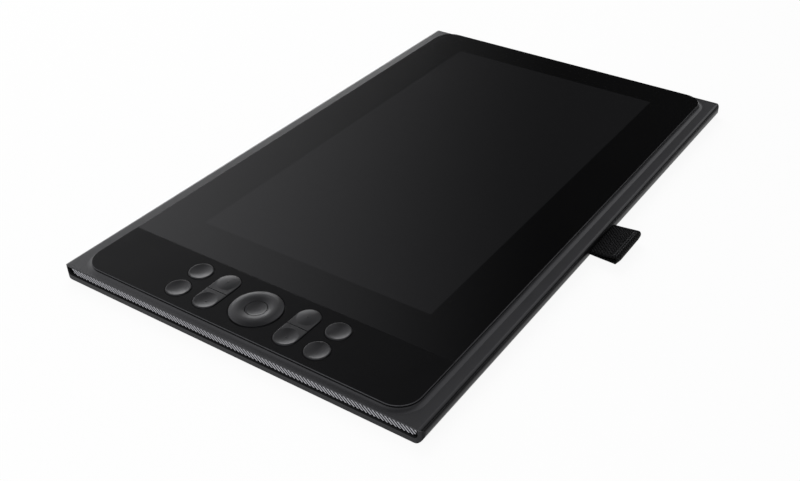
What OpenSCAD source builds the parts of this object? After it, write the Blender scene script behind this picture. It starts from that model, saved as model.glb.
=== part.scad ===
// Screen tablet for drawing: a raised glass field on a flat sleeve, with keys and
// a dial on a panel at one end and a woven pen loop on one long side.
// Millimetres. +Z is up, +X runs from the key end to the socket end, and -Y faces
// the person who draws. The origin is under the middle, loop included.

/* [Screen] */
// Length of the picture area
active_len = 256.32; // [220:0.01:300]
// Width of the picture area
active_w = 144.18; // [120:0.01:170]
// Black border between the picture and the key panel
bezel_key_end = 22.25; // [18:0.05:30]
// Black border between the picture and the far end of the glass
bezel_far_end = 22.85; // [20:0.05:30]
// Black border along each long side of the picture
bezel_side = 27.4; // [24:0.1:35]
// Edge of the screen panel beyond the picture
lcd_edge = 4.5; // [3:0.1:6]
// Thickness of the screen panel
lcd_t = 1.3; // [1:0.1:1.8]
// Thickness of the diffuser films
film_t = 0.4; // [0.2:0.1:0.6]
// Thickness of the light guide
guide_t = 1; // [0.6:0.1:1.4]
// Width of the light strip beside the light guide
led_w = 1.4; // [1:0.1:2]
// Thickness of the reflector under the light guide
reflector_t = 0.2; // [0.1:0.05:0.3]
// Sheet thickness of the backlight tray
tray_t = 0.4; // [0.3:0.05:0.6]
// Thickness of the pen sensing board
sensor_t = 0.8; // [0.6:0.1:1.2]
// Thickness of the shield plate
shield_t = 0.5; // [0.4:0.1:0.8]
// Width of the shield's flanges that the screws go through
shield_flange = 8; // [7:0.5:10]

/* [Glass] */
// Thickness of the cover glass and of the key panel
glass_t = 1.1; // [0.8:0.1:1.5]
// Chamfer around the top of the glass and the key panel
glass_chamfer = 0.3; // [0.1:0.05:0.4]
// Radius of the raised field's corners
field_r = 12; // [8:0.5:16]
// Thickness of the adhesive tape and of the clear bond
tape_t = 0.2; // [0.1:0.05:0.3]
// Width of the adhesive tape
tape_w = 2; // [1.5:0.1:2.4]
// Gap at the seam between the glass and the key panel
seam = 0.15; // [0.1:0.05:0.3]
// Height of the plinth under the glass, above the deck
plinth_h = 1.2; // [1:0.1:1.5]
// Radius of the cove at the foot of the plinth
cove_r = 4.5; // [1.5:0.1:5]
// How far the cove's arc dips under the deck, where it ends in a slight crease
cove_dip = 0.03; // [0.02:0.01:0.06]

/* [Body] */
// Deck beyond the raised field at each end
end_margin = 3.6; // [3.4:0.1:6]
// Deck beyond the raised field along each side
side_margin = 10; // [8:0.1:14]
// Thickness of the sleeve's side walls
side_wall = 2.2; // [2:0.1:3.5]
// Radius of the sleeve's two lower long edges
bottom_r = 4.5; // [4:0.1:5]
// Thickness of the sleeve's floor
floor_t = 1.5; // [1.3:0.1:2]
// Length of the thicker floor at each end
end_band = 4; // [3.5:0.1:5]
// Thickness of the deck plate
deck_t = 1.5; // [1.3:0.1:2]
// Thickness of the deck's rim on the side walls
rim_t = 1; // [0.9:0.1:1.2]
// Rounding of the upper long edges, across the deck's rim and the sleeve
brow_r = 2.5; // [1.5:0.1:3]
// Radius of the body's four upright corners
corner_r = 3.3; // [2.5:0.1:4]
// Chamfer along the deck's two cut ends
end_chamfer = 0.3; // [0.1:0.05:0.4]
// Clearance between pieces that are fitted together
fit = 0.15; // [0.1:0.05:0.2]

/* [End strip] */
// Thickness of the deck's lip over the ribbed strip
end_lip = 0.5; // [0.4:0.1:0.7]
// Depth of the strip's face behind the cut end
strip_recess = 0.15; // [0.1:0.05:0.3]
// Thickness of the ribbed strip
strip_t = 2.2; // [1.8:0.1:2.4]
// Height of the dark slot under the ribbed strip
slot_h = 1.6; // [1.2:0.1:2]
// Gap between the strip and the side wall with the pen loop
strip_near_gap = 0.6; // [0.3:0.1:2]
// Gap between the strip and the other side wall
strip_far_gap = 4.2; // [0.3:0.1:6]
// Radius of the strip's lower corners
strip_r = 2.6; // [1:0.1:3]
// Thickness of the wall behind the strip and the slot
end_wall_t = 1.5; // [1.2:0.1:1.8]
// Spacing of the slanted ribs along the strip
rib_pitch = 2.2; // [1.8:0.1:3]
// Slant of the ribs above the horizontal, in degrees
rib_angle = 43; // [30:1:60]
// Depth of the grooves between the ribs
rib_depth = 0.8; // [0.3:0.1:0.9]

/* [Keys] */
// Diameter of a round key, and width of a pill-shaped pair
key_d = 12.6; // [11:0.1:14]
// Space between two keys of a pair
key_space = 3.2; // [2.6:0.1:4]
// Space between the pill-shaped pairs and the round keys
row_space = 5.4; // [4:0.1:7]
// Panel between the keys and its long edges
panel_edge = 4.75; // [4.5:0.05:6]
// Height of the keys above the panel
key_proud = 0.5; // [0.3:0.1:0.8]
// Rounding of a key's top edge
key_edge_r = 0.5; // [0.2:0.1:0.6]
// Gap around a key in its hole
key_gap = 0.3; // [0.25:0.05:0.4]
// Gap between the two halves of a pill-shaped pair
split_gap = 0.4; // [0.3:0.05:0.6]
// How far a key goes down
key_travel = 0.6; // [0.3:0.1:0.8]
// Diameter of the dish or dome on a key
dish_d = 11.4; // [8:0.1:11.4]
// Depth of the dish on a key
dish_depth = 0.8; // [0.3:0.1:1]
// Rise of the dome on a key
dome_rise = 0.6; // [0.3:0.1:0.8]
// Diameter of the dot in the middle of a dish or dome
dot_d = 0.9; // [0.6:0.1:1.2]
// Height of that dot
dot_h = 0.12; // [0.06:0.02:0.2]
// Width of the flange that holds a key under the panel
key_flange = 1; // [0.7:0.1:1.1]
// Thickness of that flange
key_flange_t = 0.8; // [0.6:0.1:1]
// Diameter of a key's stem
stem_d = 3.2; // [2.6:0.1:3.6]
// Side of a key switch's housing
switch_w = 5.2; // [4.8:0.1:6]
// Height of a key switch's housing
switch_h = 2.4; // [2.2:0.1:2.6]
// Thickness of a switch housing's floor
switch_floor = 0.6; // [0.4:0.1:0.8]
// Clearance left over a switch when its key is down
switch_clear = 0.4; // [0.3:0.1:0.6]
// Thickness of the key board
key_board_t = 1; // [0.8:0.1:1.2]

/* [Dial] */
// Diameter of the dial
dial_d = 26.4; // [24:0.1:29]
// Gap around the dial in its hole
dial_gap = 0.6; // [0.4:0.05:0.8]
// Space between the dial and the pill-shaped pairs
dial_space = 5.5; // [4:0.1:7]
// Height of the dial's crest above the panel
dial_proud = 1.4; // [1:0.1:1.8]
// Diameter of the dial's crest
crest_d = 18.8; // [17:0.1:20]
// Radius of the rounding over the dial's crest
shoulder_r = 8; // [7:0.1:10]
// Depth of the bowl
bowl_depth = 1.5; // [1.2:0.1:1.8]
// Diameter of the key in the dial's centre
centre_key_d = 10.6; // [10.2:0.1:11.4]
// Outer diameter of the hub that the dial turns on
hub_d = 10.2; // [10:0.1:10.4]
// Running gap between the dial and its hub
dial_run = 0.2; // [0.15:0.05:0.25]
// Diameter of the centre key's neck in the hub
neck_d = 6; // [5:0.1:6.4]
// Width of the collar that holds the centre key in the hub
collar = 0.9; // [0.7:0.1:1]
// Thickness of the hub's foot on the key board
hub_foot_t = 1.2; // [1:0.1:1.4]
// Thickness of the dial's flange and of its code disc
dial_flange_t = 0.8; // [0.6:0.1:1]
// Number of windows in the code disc
code_windows = 24; // [12:1:36]

/* [Boards] */
// Length of the mainboard
board_len = 44; // [40:1:60]
// Width of the mainboard
board_w = 90; // [80:1:120]
// Thickness of the mainboard
board_t = 0.8; // [0.6:0.1:1]
// Height of the standoffs under the mainboard
standoff_h = 1.5; // [1.3:0.1:2]
// Height of the tallest chip or connector
chip_h = 1; // [0.8:0.1:1.4]
// Clearance between the chips and the shield
chip_clear = 0.2; // [0.15:0.05:0.4]
// Thickness of the flat cables
cable_t = 0.2; // [0.1:0.05:0.3]
// Width of the key board's cable
key_cable_w = 10; // [8:1:14]
// Width of the screen's cable
lcd_cable_w = 24; // [16:1:30]
// Length of the screen's cable beyond the backlight tray
cable_run = 3; // [2:0.1:6]

/* [Sockets and button] */
// Thickness of the panels and the socket plate in the far end
port_panel_t = 2.6; // [2.2:0.1:2.8]
// Socket plate beyond the power button and the sockets
plate_margin = 6; // [4:0.5:12]
// Width of a cable socket
socket_w = 8.94; // [8.8:0.02:9.2]
// Height of a cable socket
socket_h = 3.2; // [3:0.05:3.3]
// Depth of a cable socket
socket_len = 8.8; // [8:0.1:10]
// Sheet thickness of a socket's shell
socket_t = 0.3; // [0.2:0.05:0.4]
// How far a socket is sunk into the mainboard
socket_sink = 0.5; // [0.4:0.05:0.6]
// Distance between the two sockets
socket_pitch = 15; // [13:0.5:20]
// Thickness of the tongue in a socket
tongue_t = 0.7; // [0.6:0.05:0.8]
// Length of the power button
button_w = 9; // [7:0.1:12]
// Height of the power button
button_h = 2; // [1.8:0.1:2.2]
// How far the power button goes in
button_travel = 0.5; // [0.3:0.1:0.6]
// Distance from the power button to the sockets' middle
button_offset = 30; // [26:0.5:34]

/* [Pen loop] */
// Width of the woven loop
loop_w = 29; // [20:0.5:40]
// How far the loop stands out from the sleeve
loop_reach = 16.2; // [12:0.1:24]
// Thickness of the loop at its outer fold
loop_thick = 4.2; // [3:0.1:6]
// Thickness of the woven band
cloth_t = 0.9; // [0.6:0.1:1]
// Where the loop's two layers part, from the sleeve's side
loop_root = 1; // [0.5:0.1:2]
// Place of the loop along the side, from the middle
loop_x = -1.5; // [-40:0.5:40]
// Depth of the loop below the deck
loop_drop = 3.5; // [3.3:0.1:3.7]
// Length of the band inside the sleeve's wall
loop_tail = 7; // [6:0.5:10]
// Thickness of the bar that clamps the band
clamp_t = 1.3; // [1:0.1:1.4]

/* [Feet and screws] */
// Height of the foot strips below the sleeve
foot_proud = 0.8; // [0.5:0.1:1.5]
// Depth of the grooves that hold the foot strips
foot_seat = 0.5; // [0.3:0.1:0.7]
// Width of a foot strip
foot_w = 8; // [6:0.5:12]
// Distance of a foot strip's middle from the sleeve's side
foot_edge = 24; // [20:0.5:34]
// Distance of a foot strip from the sleeve's ends
foot_end = 22; // [20:1:40]
// Diameter of a cover screw's shank
cover_screw_d = 2; // [1.6:0.1:2.4]
// Length of a cover screw's shank
cover_screw_len = 6.2; // [5.5:0.1:6.4]
// Diameter of the bosses for the cover screws
cover_boss_d = 6.4; // [5.6:0.1:7]
// Distance of the cover screws from the side walls
cover_screw_edge = 6; // [4.5:0.1:6.5]
// Distance of the outer cover screws from the ends
cover_screw_end = 14; // [12:0.5:18]
// Diameter of a board screw's shank
board_screw_d = 1.6; // [1.4:0.1:1.8]
// Height of a screw's head
screw_head_h = 0.7; // [0.5:0.05:0.75]
// Diameter of the bosses for the board screws
board_boss_d = 4.6; // [4:0.1:5]

/* [Hidden] */
$fn = 96;
// Overrun of a cut past the face that it opens
over = 0.5;
// Depth that a boss or rib runs into the plate that carries it
root = 0.2;

// Heights above the surface that the tablet stands on, from the bottom up
under_z = foot_proud;
floor_z = under_z + floor_t;
board_z = floor_z + standoff_h;
board_top = board_z + board_t;
shield_z = board_top + chip_h + chip_clear;
sensor_z = shield_z + shield_t;
tray_z = sensor_z + sensor_t;
reflector_z = tray_z + tray_t;
guide_z = reflector_z + reflector_t;
film_z = guide_z + guide_t;
lcd_z = film_z + film_t;
plinth_top = lcd_z + lcd_t;
glass_z = plinth_top + tape_t;
glass_top = glass_z + glass_t;
deck_z = plinth_top - plinth_h;
rim_z = deck_z - rim_t;
plate_z = deck_z - deck_t;
band_z = board_z - fit;
strip_z = band_z + slot_h;
lip_z = deck_z - end_lip;

// Plan of the keys, about the dial's centre
key_r = key_d / 2;
key_pitch = key_d + key_space;
rocker_row = dial_d / 2 + dial_space + key_r;
key_row = rocker_row + key_d + row_space;
panel_w = max(key_pitch + key_d, dial_d) + 2 * panel_edge;
key_window_x = panel_w / 2 - panel_edge + key_flange + 2 * key_gap;
key_window_y = key_row + key_r + key_flange + 2 * key_gap;

// Plan of the body, about its middle
field_len = panel_w + bezel_key_end + active_len + bezel_far_end;
field_w = active_w + 2 * bezel_side;
body_len = field_len + 2 * end_margin;
body_w = field_w + 2 * side_margin;
body_y = loop_reach / 2;
end_x = body_len / 2;
side_y = body_w / 2;
inner_y = side_y - side_wall;
inner_r = max(bottom_r - side_wall, fit);
seam_x = -field_len / 2 + panel_w;
panel_x = seam_x - panel_w / 2;
active_x = field_len / 2 - bezel_far_end - active_len / 2;
cove_w = sqrt(pow(cove_r, 2) - pow(cove_r - cove_dip - plinth_h, 2));

// Screen stack
lcd_len = active_len + 2 * lcd_edge;
lcd_w = active_w + 2 * lcd_edge;
tray_len = lcd_len + 2 * (tray_t + fit);
tray_w = lcd_w + 2 * (tray_t + fit);
window_gap = 3 * fit;
tray_x1 = active_x + tray_len / 2;
shield_x0 = active_x - tray_len / 2 - shield_flange;
shield_y = tray_w / 2 + shield_flange;
shield_screws = [for (i = [-1:1], s = [-1, 1])
  [active_x + i * (tray_len / 2 - 2 * board_boss_d), s * (shield_y - shield_flange / 2)]];

// Keys and key board
key_top = glass_top + key_proud;
key_base = glass_z - key_flange_t;
key_board_top = key_base - key_travel - switch_clear - switch_h;
key_board_z = key_board_top - key_board_t;
key_board_y = key_window_y + 2 * board_boss_d;
key_board_screws = [for (sx = [-1, 1], sy = [-1, 1])
  [panel_x + sx * (key_window_x - board_boss_d / 2), sy * (key_window_y + board_boss_d)]];
stem_end = key_board_top + switch_floor + key_travel + fit;
dish_r = (pow(dish_d / 2, 2) + pow(dish_depth, 2)) / (2 * dish_depth);
dome_r = (pow(dish_d / 2, 2) + pow(dome_rise, 2)) / (2 * dome_rise);

// Dial
dial_top = glass_top + dial_proud;
// The bowl runs smoothly into the rounded crest, where both have the same slope
crest_r = crest_d / 2;
bowl_r = (pow(crest_r, 2) + pow(bowl_depth, 2)) / (2 * bowl_depth) - shoulder_r;
bowl_z = dial_top - bowl_depth + bowl_r;
bowl_reach = crest_r * bowl_r / (bowl_r + shoulder_r);
bowl_edge_z = bowl_z - sqrt(pow(bowl_r, 2) - pow(bowl_reach, 2));
dial_flange_z = glass_z - fit - dial_flange_t;
code_z = dial_flange_z - dial_flange_t;
hub_foot_top = key_board_top + hub_foot_t;
centre_cap_z = glass_z + key_gap;
hub_top = centre_cap_z - key_travel - fit;
collar_top = hub_top - key_flange_t;
collar_z = collar_top - key_flange_t;
centre_switch_h = collar_z - key_travel - fit - key_board_top;
centre_tip_z = key_board_top + switch_floor / 2 + key_travel + fit;
dial_sensor_x = panel_x + hub_d / 2 + collar + board_boss_d / 2;

// Mainboard, sockets and power button
board_x1 = end_x - end_band - fit;
board_x0 = board_x1 - board_len;
board_screws_at = [for (sx = [0, 1], sy = [-1, 1])
  [board_x0 + board_boss_d + sx * (board_len - 4 * board_boss_d), sy * (board_w / 2 - board_boss_d)]];
port_x1 = end_x - strip_recess;
port_x0 = port_x1 - port_panel_t;
socket_x1 = port_x1 - fit;
socket_x0 = socket_x1 - socket_len;
socket_z = board_top - socket_sink;
port_z = socket_z + socket_h / 2;
socket_y = button_offset / 2;
button_y = socket_y - button_offset;
plate_y0 = button_y - button_w / 2 - plate_margin;
plate_y1 = socket_y + (socket_pitch + socket_w) / 2 + plate_margin;
button_flange = 1;
button_stem_d = board_screw_d;
button_stem_len = 2;
button_back = port_x0 - button_flange;
switch_x1 = button_back - button_travel - fit;
switch_x0 = switch_x1 - switch_w;
lcd_cable_x = tray_x1 + cable_run;
lcd_cable_z = lcd_z + lcd_t / 2;
lcd_cable_y = -board_w / 4;
key_cable_y = button_offset;
key_cable_z = board_top + chip_h / 2;
connector_w = 4;

// Loop and clamp
loop_z = deck_z - loop_drop;
belly_r = loop_thick / 2;
belly_y = loop_reach - belly_r;
loop_sink = fit / 4;
clamp_end = board_boss_d;
clamp_y0 = -inner_y + inner_r + fit;
clamp_y1 = -inner_y + loop_tail;
clamp_z = loop_z - cloth_t - clamp_t;
clamp_screws = [for (s = [-1, 1])
  [loop_x + s * (loop_w / 2 + clamp_end / 2 + fit), (clamp_y0 + clamp_y1) / 2]];

// Cover screws
cover_screws_at = [for (s = [-1, 1], x = [end_x - cover_screw_end, body_len / 6], t = [-1, 1])
  [t * x, s * (inner_y - cover_screw_edge)]];
cover_head_d = 2 * cover_screw_d + fit;
cover_shank_z = under_z + screw_head_h + fit;
board_head_d = 2 * board_screw_d - fit;

// Shared shapes

// Move from the body's middle to the part's own frame
module placed() {
  translate([0, body_y, 0]) children();
}

// Limits at an equal distance on both sides of a middle
function about(middle, half) = [middle - half, middle + half];

// Box between two limits on each axis
module block(x, y, z) {
  translate([x[0], y[0], z[0]]) cube([x[1] - x[0], y[1] - y[0], z[1] - z[0]]);
}

// Sweep a section drawn in Y and Z along X
module along_x(x0, x1) {
  translate([x0, 0, 0]) rotate([90, 0, 90]) linear_extrude(x1 - x0) children();
}

// Sweep a section drawn in X and Z along Y
module along_y(y0, y1) {
  translate([0, y1, 0]) rotate([90, 0, 0]) linear_extrude(y1 - y0) children();
}

// A half section and its mirror image
module both_sides() {
  for (s = [0, 1]) mirror([s, 0]) children();
}

module rod(p, d, z0, z1) {
  translate([p[0], p[1], z0]) cylinder(d = d, h = z1 - z0);
}

module rounded_rect(len, w, r) {
  square([len - 2 * r, w], center = true);
  square([len, w - 2 * r], center = true);
  for (sx = [-1, 1], sy = [-1, 1])
    translate([sx * (len / 2 - r), sy * (w / 2 - r)]) circle(r);
}

module stadium(len, w) {
  square([len - w, w], center = true);
  for (s = [-1, 1]) translate([s * (len - w) / 2, 0]) circle(d = w);
}

// Section from z0 to z1 with rounded lower corners
module tub_section(half, z0, z1, r) {
  translate([-half, z0 + r]) square([2 * half, z1 - z0 - r]);
  translate([-half + r, z0]) square([2 * half - 2 * r, z1 - z0]);
  for (s = [-1, 1]) intersection() {
    translate([s * (half - r), z0 + r]) circle(r);
    translate([-half, z0]) square([2 * half, z1 - z0]);
  }
}

// Sleeve and deck

// Body's full height with rounded upright corners, from z0 upwards
module corner_body(z0) {
  translate([0, 0, z0]) linear_extrude(deck_z + over - z0) rounded_rect(body_len, body_w, corner_r);
}

// Section of sleeve and deck together, with rounded upper long edges
module brow_section() {
  translate([-side_y, under_z]) square([body_w, deck_z - under_z - brow_r]);
  translate([-side_y + brow_r, under_z]) square([body_w - 2 * brow_r, deck_z - under_z]);
  for (s = [-1, 1]) translate([s * (side_y - brow_r), deck_z - brow_r]) circle(brow_r);
}

module rear_cover() {
  color([0.10, 0.10, 0.11]) placed() difference() {
    union() {
      difference() {
        intersection() {
          along_x(-end_x, end_x) tub_section(side_y, under_z, rim_z, bottom_r);
          along_x(-end_x - over, end_x + over) brow_section();
          corner_body(under_z - over);
        }
        along_x(-end_x - over, end_x + over) tub_section(inner_y, band_z, rim_z + over, inner_r);
        block(about(0, end_x - end_band), about(0, inner_y - inner_r),
          [floor_z, rim_z]);
      }
      for (p = cover_screws_at) rod(p, cover_boss_d, floor_z - root, board_z);
      for (p = board_screws_at) rod(p, board_boss_d, floor_z - root, board_z);
    }
    for (p = cover_screws_at) {
      rod(p, cover_head_d + 2 * fit, under_z - over, cover_shank_z);
      rod(p, cover_screw_d + 2 * fit, under_z, board_z + over);
    }
    for (p = board_screws_at) rod(p, board_screw_d + fit, floor_z, board_z + over);
    for (s = [-1, 1]) translate([0, s * (side_y - foot_edge), under_z - over])
      linear_extrude(foot_seat + over) stadium(body_len - 2 * foot_end + 2 * fit, foot_w + 2 * fit);
    block(about(loop_x, loop_w / 2 + fit), [-side_y - over, -inner_y + over],
      about(loop_z, cloth_t + fit));
  }
}

// Concave foot of the plinth, from the plinth's side outwards
module cove_section() {
  difference() {
    square([cove_w, plinth_h]);
    translate([cove_w, cove_r - cove_dip]) circle(cove_r);
  }
}

module cove() {
  run_x = field_len / 2 - field_r;
  run_y = field_w / 2 - field_r;
  translate([0, 0, deck_z]) {
    along_x(-run_x, run_x) both_sides() translate([field_w / 2, 0]) cove_section();
    along_y(-run_y, run_y) both_sides() translate([field_len / 2, 0]) cove_section();
    for (sx = [0, 1], sy = [0, 1]) mirror([sx, 0, 0]) mirror([0, sy, 0])
      translate([run_x, run_y, 0]) rotate_extrude(angle = 90) translate([field_r, 0]) cove_section();
  }
}

// Block under the deck that the pen loop's band is clamped against
module loop_pad() {
  block(about(loop_x, loop_w / 2 + fit + clamp_end), [clamp_y0, clamp_y1],
    [loop_z - cloth_t, plate_z + root]);
}

module loop_band_room() {
  block(about(loop_x, loop_w / 2 + fit), [clamp_y0 - over, clamp_y1 + over],
    [loop_z - cloth_t - over, loop_z + cloth_t]);
}

module front_frame() {
  wall_x = -end_x + strip_recess + strip_t;
  color([0.12, 0.12, 0.13]) placed() difference() {
    union() {
      intersection() {
        along_x(-end_x, end_x) brow_section();
        corner_body(rim_z);
      }
      block([-end_x, end_x], about(0, inner_y - fit), [plate_z, rim_z + root]);
      translate([0, 0, deck_z - root]) linear_extrude(plinth_h + root)
        rounded_rect(field_len, field_w, field_r);
      cove();
      along_x(wall_x, wall_x + end_wall_t) tub_section(inner_y - fit, band_z, plate_z + root, inner_r);
      for (p = shield_screws) rod(p, board_boss_d, sensor_z, plate_z + root);
      for (p = key_board_screws) rod(p, board_boss_d, key_board_top, plate_z + root);
      difference() {
        loop_pad();
        loop_band_room();
      }
    }
    block([active_x - tray_len / 2 - window_gap, tray_x1 + window_gap],
      about(0, tray_w / 2 + window_gap), [plate_z - over, plinth_top + over]);
    block([tray_x1, lcd_cable_x + cable_t + window_gap],
      about(lcd_cable_y, lcd_cable_w / 2 + window_gap),
      [plate_z - over, plinth_top + over]);
    block(about(panel_x, key_window_x), about(0, key_window_y),
      [plate_z - over, plinth_top + over]);
    block([-end_x - over, wall_x], about(0, inner_y), [band_z, lip_z]);
    block([port_x0, end_x + over], about(0, inner_y), [band_z, lip_z]);
    for (p = cover_screws_at)
      rod(p, cover_screw_d + fit, plate_z - over, cover_shank_z + cover_screw_len + fit);
    for (p = concat(shield_screws, key_board_screws))
      rod(p, board_screw_d + fit, key_board_z, plate_z + deck_t / 2);
    for (p = clamp_screws) rod(p, board_screw_d + fit, loop_z - cloth_t - over, plate_z + deck_t / 2);
    for (s = [0, 1]) mirror([s, 0, 0]) along_y(-side_y - over, side_y + over)
      translate([end_x, deck_z]) rotate(45) square(end_chamfer * sqrt(2), center = true);
  }
}

// Teeth across the strip, one every rib_pitch, drawn square to the ribs
module rib_teeth() {
  step = rib_pitch * sin(rib_angle);
  half = ceil((inner_y * sin(rib_angle) + deck_z) / step);
  base = [-(half + 1) * step, -strip_t / 2];
  rise = [for (i = [-half:half], k = [[0, 0], [0.12, 1], [0.5, 1], [0.62, 0]])
    [(i + k[0]) * step, k[1] * rib_depth]];
  polygon(concat([base], rise, [[-base[0], base[1]]]));
}

module near_end_strip() {
  face_x = -end_x + strip_recess;
  strip_y = (strip_near_gap - strip_far_gap) / 2;
  strip_half = inner_y - (strip_near_gap + strip_far_gap) / 2;
  color([0.32, 0.32, 0.33]) placed() intersection() {
    along_x(face_x, face_x + strip_t) translate([strip_y, 0])
      tub_section(strip_half, strip_z, lip_z, strip_r);
    union() {
      block([face_x + rib_depth + fit, face_x + strip_t], about(0, inner_y), [strip_z, lip_z]);
      translate([face_x + rib_depth, 0, strip_z]) rotate([rib_angle - 90, 0, 0]) rotate(90)
        linear_extrude(2 * inner_y, center = true) rib_teeth();
    }
  }
}

// Length of the panel in the far end, between two limits along Y
module end_panel(y0, y1) {
  intersection() {
    along_x(port_x0, port_x1) tub_section(inner_y - fit, band_z, lip_z, inner_r + fit);
    block([port_x0 - over, port_x1 + over], [y0, y1], [band_z - over, lip_z + over]);
  }
}

module upper_end_panel() {
  color([0.09, 0.09, 0.10]) placed() end_panel(plate_y1 + fit, inner_y);
}

module lower_end_panel() {
  color([0.09, 0.09, 0.10]) placed() end_panel(-inner_y, plate_y0 - fit);
}

module socket_plate() {
  color([0.09, 0.09, 0.10]) placed() difference() {
    end_panel(plate_y0, plate_y1);
    for (y = [socket_y - socket_pitch / 2, socket_y + socket_pitch / 2])
      along_x(port_x0 - over, port_x1 + over) translate([y, port_z])
        stadium(socket_w + 2 * fit, socket_h + 2 * fit);
    along_x(port_x0 - over, port_x1 + over) translate([button_y, port_z])
      stadium(button_w + 2 * key_gap, button_h + 2 * key_gap);
  }
}

// Glass field

module glass_edge(reach) {
  brow = glass_t - glass_chamfer;
  polygon([[0, 0], [reach, 0], [reach, brow], [reach - glass_chamfer, glass_t], [0, glass_t]]);
}

// The whole raised field, chamfered around its top
module glass_field() {
  run_x = field_len / 2 - field_r;
  run_y = field_w / 2 - field_r;
  translate([0, 0, glass_z]) {
    along_x(-run_x, run_x) both_sides() glass_edge(field_w / 2);
    along_y(-run_y, run_y) both_sides() glass_edge(field_len / 2);
    for (sx = [-1, 1], sy = [-1, 1]) translate([sx * run_x, sy * run_y, 0])
      rotate_extrude() glass_edge(field_r);
  }
}

module screen_glass() {
  color([0.03, 0.03, 0.035]) placed() intersection() {
    glass_field();
    block([seam_x + seam / 2, end_x], about(0, side_y), [glass_z - over, glass_top + over]);
  }
}

// Place each pill-shaped pair or round key of the panel
function key_place(inner, upper, row) = [panel_x + (inner ? 1 : -1) * key_pitch / 2, (upper ? 1 : -1) * row];

module key_panel() {
  color([0.05, 0.05, 0.055]) placed() difference() {
    intersection() {
      glass_field();
      block([-end_x, seam_x - seam / 2], about(0, side_y), [glass_z - over, glass_top + over]);
    }
    for (i = [false, true], u = [false, true])
      rod(key_place(i, u, key_row), key_d + 2 * key_gap, glass_z - over, glass_top + over);
    for (s = [-1, 1]) translate([panel_x, s * rocker_row, glass_z - over])
      linear_extrude(glass_t + 2 * over) stadium(key_pitch + key_d + 2 * key_gap, key_d + 2 * key_gap);
    rod([panel_x, 0], dial_d + 2 * dial_gap, glass_z - over, glass_top + over);
  }
}

// Outline of the field between two limits along X, drawn in by an inset
module tape_outline(x0, x1, inset) {
  in = tape_w / 4 + inset;
  intersection() {
    rounded_rect(field_len - 2 * in, field_w - 2 * in, field_r - in);
    translate([x0 + in, -side_y]) square([x1 - x0 - 2 * in, body_w]);
  }
}

// Ring of tape along the edge of the field
module tape_ring(x0, x1) {
  translate([0, 0, plinth_top]) linear_extrude(tape_t) difference() {
    tape_outline(x0, x1, 0);
    tape_outline(x0, x1, tape_w);
  }
}

module glass_tape() {
  color([0.02, 0.02, 0.02]) placed() tape_ring(seam_x, field_len / 2);
}

module panel_tape() {
  color([0.02, 0.02, 0.02]) placed() tape_ring(-field_len / 2, seam_x);
}

module screen_sheet(len, w, z, t) {
  placed() block(about(active_x, len / 2), about(0, w / 2), [z, z + t]);
}

module clear_bond() {
  color([0.6, 0.65, 0.7]) screen_sheet(active_len, active_w, plinth_top, tape_t);
}

module lcd_panel() {
  color([0.08, 0.08, 0.1]) screen_sheet(lcd_len, lcd_w, lcd_z, lcd_t);
}

module diffuser_films() {
  color([0.9, 0.9, 0.88]) screen_sheet(lcd_len, lcd_w, film_z, film_t);
}

module light_guide() {
  color([0.8, 0.85, 0.9]) placed() block(about(active_x, lcd_len / 2),
    [-lcd_w / 2 + led_w + fit, lcd_w / 2], [guide_z, guide_z + guide_t]);
}

module light_strip() {
  color([0.95, 0.9, 0.6]) placed() block(about(active_x, active_len / 2),
    [-lcd_w / 2, -lcd_w / 2 + led_w], [guide_z, guide_z + guide_t]);
}

module reflector_sheet() {
  color([0.95, 0.95, 0.95]) screen_sheet(lcd_len, lcd_w, reflector_z, reflector_t);
}

module backlight_tray() {
  color([0.7, 0.7, 0.72]) difference() {
    screen_sheet(tray_len, tray_w, tray_z, lcd_z - tray_z);
    screen_sheet(tray_len - 2 * tray_t, tray_w - 2 * tray_t, reflector_z, lcd_z - reflector_z + over);
  }
}

module pen_sensor_board() {
  color([0.05, 0.3, 0.15]) screen_sheet(tray_len, tray_w, sensor_z, sensor_t);
}

module shield_plate() {
  color([0.75, 0.75, 0.78]) placed() difference() {
    block([shield_x0, tray_x1], about(0, shield_y), [shield_z, sensor_z]);
    for (p = shield_screws) rod(p, board_screw_d + fit, shield_z - over, sensor_z + over);
  }
}

// Mainboard and sockets

module mainboard() {
  color([0.04, 0.28, 0.14]) placed() difference() {
    block([board_x0, board_x1], about(0, board_w / 2), [board_z, board_top]);
    for (p = board_screws_at) rod(p, board_screw_d + fit, board_z - over, board_top + over);
    for (s = [-1, 1]) block([socket_x0 - fit, board_x1 + over],
      about(socket_y + s * socket_pitch / 2, socket_w / 2 + fit), [board_z - over, board_top + over]);
  }
}

module board_chips() {
  color([0.08, 0.08, 0.08]) placed() {
    block(about(lcd_cable_x + cable_t / 2, connector_w / 2),
      about(lcd_cable_y, lcd_cable_w / 2 + fit), [board_top, board_top + chip_h]);
    block([board_x0 + fit, board_x0 + fit + connector_w], about(key_cable_y, key_cable_w / 2 + fit),
      [board_top, board_top + chip_h]);
    for (i = [0:2])
      block(about(board_x0 + (3 + 2 * i) * connector_w, connector_w * (1 - i / 4)),
        about((3 * i - 4) * connector_w, connector_w * (1.5 - i / 3)), [board_top, board_top + 0.8 * chip_h]);
    block([panel_x + key_window_x - connector_w, panel_x + key_window_x],
      about(key_cable_y, key_cable_w / 2 + fit), [key_cable_z - cable_t, key_board_z]);
  }
}

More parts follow.
